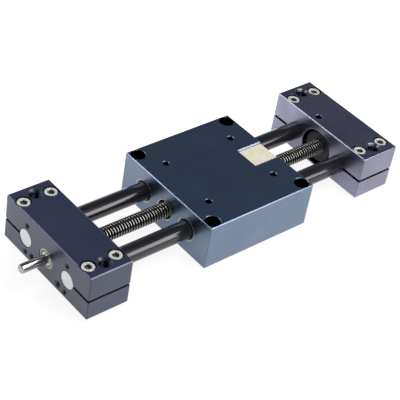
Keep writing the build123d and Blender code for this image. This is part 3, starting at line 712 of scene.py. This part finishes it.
# edge is the colour of the painted highlight along the top edges, and edgeShare how strong it is
driveBlockMetal = anodisedAluminium({
    **blockLook, "name": "aluminium_anodised_blue_violet", "dark": "#2e344b", "light": "#353b53",
    "edge": "#a3a6be", "metallic": 0.45, "coat": 0.45, "lines": (1, 30, 1), "lineWidth": 1.2,
    "recess": None, "easing": 1.2, "edgeShare": 0.42, "sinkShade": 0.0})
# The tail block has the drive block's finish. Its lighter, greyer colours and fuller metal and coat are
# partly a lighter dye and partly painted light for the stronger light at the tail end.
tailBlockMetal = anodisedAluminium({
    **blockLook, "name": "aluminium_anodised_grey_violet", "dark": "#676680", "light": "#7f7e98",
    "edge": "#b5b6cf", "metallic": 1.0, "coat": 1.0, "lines": (1, 40, 1), "lineWidth": 0.9,
    "recess": tailRecess, "easing": 0.9, "edgeShare": 0.6, "sinkShade": 0.6})
carriageMetal = anodisedAluminium({
    "name": "aluminium_anodised_steel_blue", "dark": "#4c6582", "light": "#556e8b",
    "edge": "#93a9cb", "metallic": 1.0, "coat": 1.0, "lines": (30, 1, 1), "lineWidth": 1.2,
    "holes": carriageHoles, "pair": False, "middle": carriageMiddle, "top": carriageHigh.z, "slot": None,
    # the bare rings reach a little past the bore chamfers onto the face, as a painted highlight
    "bores": [(shaftOut, 7.8), (0.0, 7.1)], "recess": None, "easing": 1.3, "edgeShare": 0.65,
    "sinkShade": 0.0})
# Two copies of the tapped thread: the dark one is painted shade for the deep holes from above, the light
# one painted glints for the holes in the drive face.
shadedThreadMetal = tappedAluminium("aluminium_tapped_painted_shade", "#1d1f29", "#2b2e3b")
glintThreadMetal = tappedAluminium("aluminium_tapped_painted_glint", "#6a6d80", "#8c8fa2")
screwMetal = rolledThreadSteel()
zincMetal = platedScrewSteel()
finishes = {
    "end_block": driveBlockMetal,
    "carriage": carriageMetal,
    "guide_shaft": hardAnodisedShaft(),
    "screw_steel": screwMetal,
    "bright_screw": zincMetal,
    "bearing_steel": ringMetal("bearing_steel_ground", "#cfcdc4", "#dedcd4", (0.18, 0.26), 1.0),
    "shield": pressedShield(),
    "cage": ringMetal("brass_pressed", "#b99a58", "#c9ab69", (0.3, 0.4), 1.0),
    "thrust_washer": polymer("acetal_black_turned", "#191919", "#232323", 0.4),
    "collar": ringMetal("steel_turned_blackened", "#232224", "#2c2b2d", (0.42, 0.5), 0.3),
    "nut_polymer": polymer("bearing_polymer_cream_machined", "#c6c0a5", "#d8d3bd", 0.5),
    "liner_polymer": polymer("bearing_polymer_black_moulded", "#141414", "#1d1d1e", 0.45),
}
for subpart in frame["record"]["subparts"]:
    mesh = nodes[subpart["node"]].data
    mesh.materials.clear()
    mesh.materials.append(finishes[subpart["material_slot"]])
nodes["tail_end_block"].data.materials[0] = tailBlockMetal
print("materials given")

makeLeadScrew(screwMetal)
clampSeat = driveHigh.z - clampScrews["headDepth"] * mm - m5Screw["headHeight"]
clampAlong, clampAcross = clampScrews["along"] * mm, clampScrews["across"] * mm
for end, side in (("drive", -1), ("tail", 1)):
    places = [(side * (blockMiddle + i * clampAlong), j * clampAcross, clampSeat)
              for i in (-1, 1) for j in (-1, 1)]
    makeScrews(end + "_clamp_screws_threaded", m5Screw, places, (0, 0, 1), zincMetal, "frame",
               end + "_clamp_screws")
nutPlaces = [(nutScrews["x"] * mm, j * nutScrews["across"] * mm, nutScrews["height"] * mm) for j in (-1, 1)]
makeScrews("nut_screws_threaded", m3Screw, nutPlaces, (1, 0, 0), zincMetal, "carriage", "nut_screws")
for name, family in holeFamilies.items():
    upright = family["direction"] == (0, 0, 1)
    # holes from above get the painted shade, the holes in the drive face the painted glints
    makeTappedLinings(name, family, shadedThreadMetal if upright else glintThreadMetal)
print("pieces made")


# Studio

studio = {
    # place, aim, lens and sensor are in mm and the roll is in degrees; the floor is in metres
    "eye": (-478.9, -453.5, 538.0), "aim": (-10.4, -3.9, 16.0), "roll": 10.5, "lens": 119.1, "sensor": 36.0,
    "floorSize": 6.0, "floorDrop": 0.05 * mm, "floorWhite": "#f2f2f4",
    # how much of the floor's look is its own glow, to the camera and to mirrors; how bright it is in front
    # and, as painted light, further back at the left and the right; and where it changes, in metres
    "whiteShare": 0.86, "mirrorShare": 0.6, "whiteFront": 1.03, "whiteLeft": 1.3, "whiteRight": 2.3,
    "frontToBack": (0.02, 0.09), "leftToRight": (0.0, 0.06),
    # how bright the world is by the height of the view, from 0 at the horizon to 1 straight up
    "horizon": 0.55, "ceiling": 0.17, "ceilingFrom": (0.1, 0.5), "zenith": 0.03, "zenithFrom": (0.7, 0.85),
    "ceilingTint": "#d2e0ff",
}
lamps = {
    # name: place in mm, aim in mm, width and height in mm, watts
    "overhead_softbox": ((60, -240, 680), (20, 0, 0), (340, 420), 3.7),
    "right_softbox": ((290, -480, 340), (0, 0, 30), (400, 380), 2.3),
    "left_softbox": ((-230, 321, 350), (0, 0, 30), (260, 270), 1.0),
}


def makeFloor():
    # A matt pale sheet, which the camera and mirror-like parts see as almost white with a faint shadow.
    # Its glow is stronger towards the back and the right: painted light, standing in for stronger lamps
    # there.
    material = bpy.data.materials.new("paper_sheet_white")
    material.use_nodes = True
    tree = material.node_tree
    tree.nodes.clear()
    paper = addNode(tree, "BsdfDiffuse", {"Color": linearColour(studio["floorWhite"])}, {})[0]
    place = addNode(tree, "TexCoord", {}, {})["Object"]
    parts = addNode(tree, "SeparateXYZ", {}, {0: place})
    sides = fromTo(studio["leftToRight"], (studio["whiteLeft"], studio["whiteRight"]))
    back = addNode(tree, "MapRange", sides, {0: parts[0]})[0]
    start, end = studio["frontToBack"]
    strength = {1: start, 2: end, 3: studio["whiteFront"]}
    strength = addNode(tree, "MapRange", strength, {0: parts[1], 4: back})[0]
    glow = addNode(tree, "Emission", {}, {"Strength": strength})[0]
    rays = addNode(tree, "LightPath", {}, {})
    seen = {"operation": "MULTIPLY", 1: studio["whiteShare"]}
    seen = addNode(tree, "Math", seen, {0: rays["Is Camera Ray"]})[0]
    mirrored = joinMasks(tree, "MAXIMUM", [rays["Is Glossy Ray"], rays["Is Transmission Ray"]])
    share = {"operation": "MULTIPLY_ADD", 1: studio["mirrorShare"]}
    seen = addNode(tree, "Math", share, {0: mirrored, 2: seen})[0]
    mix = addNode(tree, "MixShader", {}, {0: seen, 1: paper, 2: glow})[0]
    addNode(tree, "OutputMaterial", {}, {"Surface": mix})
    half = studio["floorSize"] / 2
    mesh = bpy.data.meshes.new("floor")
    corners = [(-half, -half), (half, -half), (half, half), (-half, half)]
    mesh.from_pydata([(x, y, -studio["floorDrop"]) for x, y in corners], [], [(0, 1, 2, 3)])
    mesh.materials.append(material)
    floor = addObject("floor", mesh)


def makeWorld():
    # white low down, like paper swept up behind the object, and a dim ceiling above
    world = bpy.data.worlds.new("studio")
    bpy.context.scene.world = world
    world.use_nodes = True
    tree = world.node_tree
    tree.nodes.clear()
    white, tinted = linearColour("#ffffff"), linearColour(studio["ceilingTint"])
    way = addNode(tree, "TexCoord", {}, {})["Generated"]
    height = addNode(tree, "SeparateXYZ", {}, {0: way})[2]
    upper = addNode(tree, "MapRange", fromTo(studio["ceilingFrom"]), {0: height})[0]
    overhead = addNode(tree, "MapRange", fromTo(studio["zenithFrom"]), {0: height})[0]
    glow = fromTo(unit, (studio["horizon"], studio["ceiling"]))
    glow = addNode(tree, "MapRange", glow, {0: upper})[0]
    glow = addNode(tree, "Mix", {"data_type": "FLOAT", 3: studio["zenith"]}, {0: overhead, 2: glow})[0]
    camera = addNode(tree, "LightPath", {}, {})["Is Camera Ray"]
    strength = addNode(tree, "Mix", {"data_type": "FLOAT", 3: 1.0}, {0: camera, 2: glow})[0]
    shade = addNode(tree, "Mix", {"data_type": "RGBA", 6: white, 7: tinted}, {0: upper})[2]
    colour = addNode(tree, "Mix", {"data_type": "RGBA", 7: white}, {0: camera, 6: shade})[2]
    sky = addNode(tree, "Background", {}, {"Color": colour, "Strength": strength})[0]
    addNode(tree, "OutputWorld", {}, {"Surface": sky})


def faceTowards(place, aim, roll=0.0):
    # the matrix of a lamp or camera at a place in mm, which looks at its aim
    eye = Vector(place) * mm
    away = eye - Vector(aim) * mm
    turn = away.to_track_quat("Z", "Y").to_matrix().to_4x4()
    return Matrix.Translation(eye) @ turn @ Matrix.Rotation(math.radians(roll), 4, "Z")


def makeLamps():
    # soft boxes, each a rectangle that looks at its aim
    for name, (place, aim, size, watts) in lamps.items():
        lamp = bpy.data.lights.new(name, "AREA")
        lamp.shape = "RECTANGLE"
        lamp.size, lamp.size_y = size[0] * mm, size[1] * mm
        lamp.energy = watts
        addObject(name, lamp).matrix_world = faceTowards(place, aim)


def makeCamera():
    # the photo's camera, turned by roll round its line of sight
    camera = bpy.data.cameras.new("camera")
    camera.lens = studio["lens"]
    camera.sensor_width = studio["sensor"]
    holder = addObject("camera", camera)
    holder.matrix_world = faceTowards(studio["eye"], studio["aim"], studio["roll"])
    bpy.context.scene.camera = holder


makeFloor()
makeWorld()
makeLamps()
makeCamera()
bpy.context.scene.view_settings.view_transform = "Standard"
print("studio ready")
